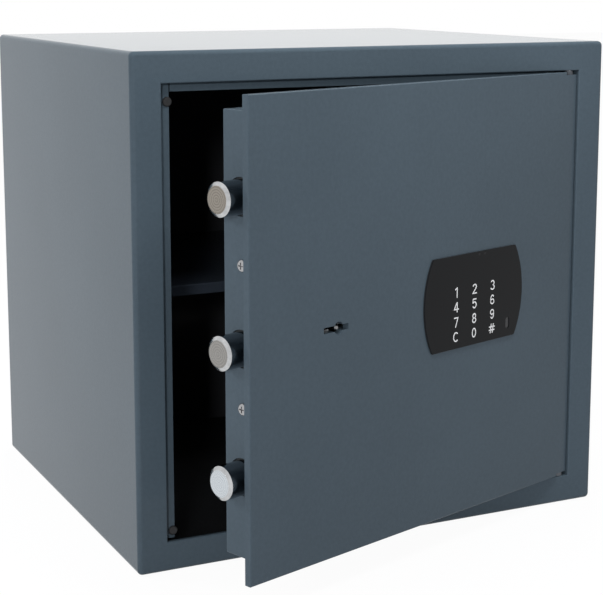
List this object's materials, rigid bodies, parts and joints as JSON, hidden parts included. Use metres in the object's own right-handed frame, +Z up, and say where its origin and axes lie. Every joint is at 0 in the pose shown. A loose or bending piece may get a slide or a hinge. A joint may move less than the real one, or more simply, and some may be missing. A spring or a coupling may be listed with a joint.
{
  "type": "electronic safe deposit box",
  "caption": "Free-standing steel safe, door ajar with chromed sliding bolts thrown, touch keypad and emergency keyhole.",
  "frame": {"origin": "centre of the cabinet's base, on the floor", "axes": "+Z up, the door side faces -Y, the door's hinges are at +X"},
  "size_m": [0.42, 0.4736, 0.4],
  "materials": {
    "paint": "fine textured satin powder coat",
    "chrome": "bright plated",
    "zinc": "zinc plated",
    "cast_zinc": "cast, satin",
    "black_plastic": "moulded",
    "gloss_panel": "polished",
    "lamp": "tinted",
    "board": "solder mask",
    "red_plastic": "moulded",
    "cell": "shrink sleeve",
    "rubber": "moulded",
    "mat": "needle felt"
  },
  "bodies": {
    "cabinet": {"cabinet_wrap": "paint", "front_frame": "paint", "back_panel": "paint", "left_door_stop": "paint", "top_door_stop": "paint", "door_buffers": "rubber", "hinge_lugs": "paint", "floor_mat": "mat", "shelf_supports": "paint"},
    "door": {"door_plate": "paint", "hinge_blocks": "paint", "hinge_pins": "zinc", "hinge_washers": "cast_zinc", "door_cover": "paint", "cover_bracket": "zinc", "cover_screws": "zinc", "bolt_guide": "zinc", "guide_posts": "zinc", "post_caps": "zinc", "plate_screws": "zinc", "lock_case": "cast_zinc", "motor_gearbox": "zinc", "keypad_body": "black_plastic", "keypad_panel": "gloss_panel", "status_leds": "lamp", "keypad_board": "board", "keypad_nuts": "zinc", "board_standoffs": "zinc", "control_board": "board", "battery_holder": "black_plastic", "battery_cells": "cell", "lid_rails": "zinc", "reset_housing": "black_plastic"},
    "bolt_work": {"bolt_carriage": "zinc", "carriage_screws": "zinc", "upper_bolt": "chrome", "middle_bolt": "chrome", "lower_bolt": "chrome"},
    "key_assembly": {"key_rotor": "cast_zinc", "key_gear": "zinc"},
    "drive_pinion": {"motor_pinion": "zinc"},
    "sliding_lid": {"battery_lid": "black_plastic"},
    "button": {"reset_button": "red_plastic"},
    "loose_shelf": {"shelf": "paint"}
  },
  "joints": [
    {"name": "door_hinge", "type": "hinge", "parent": "cabinet", "child": "door", "pos_m": [0.1775, -0.1765, 0.2], "axis": [0, 0, 1], "range_deg": [-18, 92]},
    {"name": "bolt_slide", "type": "slide", "parent": "door", "child": "bolt_work", "axis": [0.9511, 0.309, 0], "range_m": [0, 0.01963]},
    {"name": "key_turn", "type": "hinge", "parent": "door", "child": "key_assembly", "pos_m": [-0.08914, -0.24579, 0.2], "axis": [-0.309, 0.9511, 0], "range_deg": [0, 90]},
    {"name": "motor_turn", "type": "hinge", "parent": "door", "child": "drive_pinion", "pos_m": [-0.0637, -0.22701, 0.24375], "axis": [-0.309, 0.9511, 0], "range_deg": [-100, 0]},
    {"name": "lid_slide", "type": "slide", "parent": "door", "child": "sliding_lid", "axis": [0, 0, 1], "range_m": [0, 0.058]},
    {"name": "reset_press", "type": "slide", "parent": "door", "child": "button", "axis": [0.309, -0.9511, 0], "range_m": [0, 0.0015], "stiffness_N_per_m": 200},
    {"name": "shelf_lift", "type": "slide", "parent": "cabinet", "child": "loose_shelf", "axis": [0, 0, 1], "range_m": [0, 0.03]}
  ],
  "couplings": [
    {"joint": "key_turn", "follows": "bolt_slide", "rad_per_m": 80},
    {"joint": "motor_turn", "follows": "bolt_slide", "rad_per_m": -88.889}
  ]
}
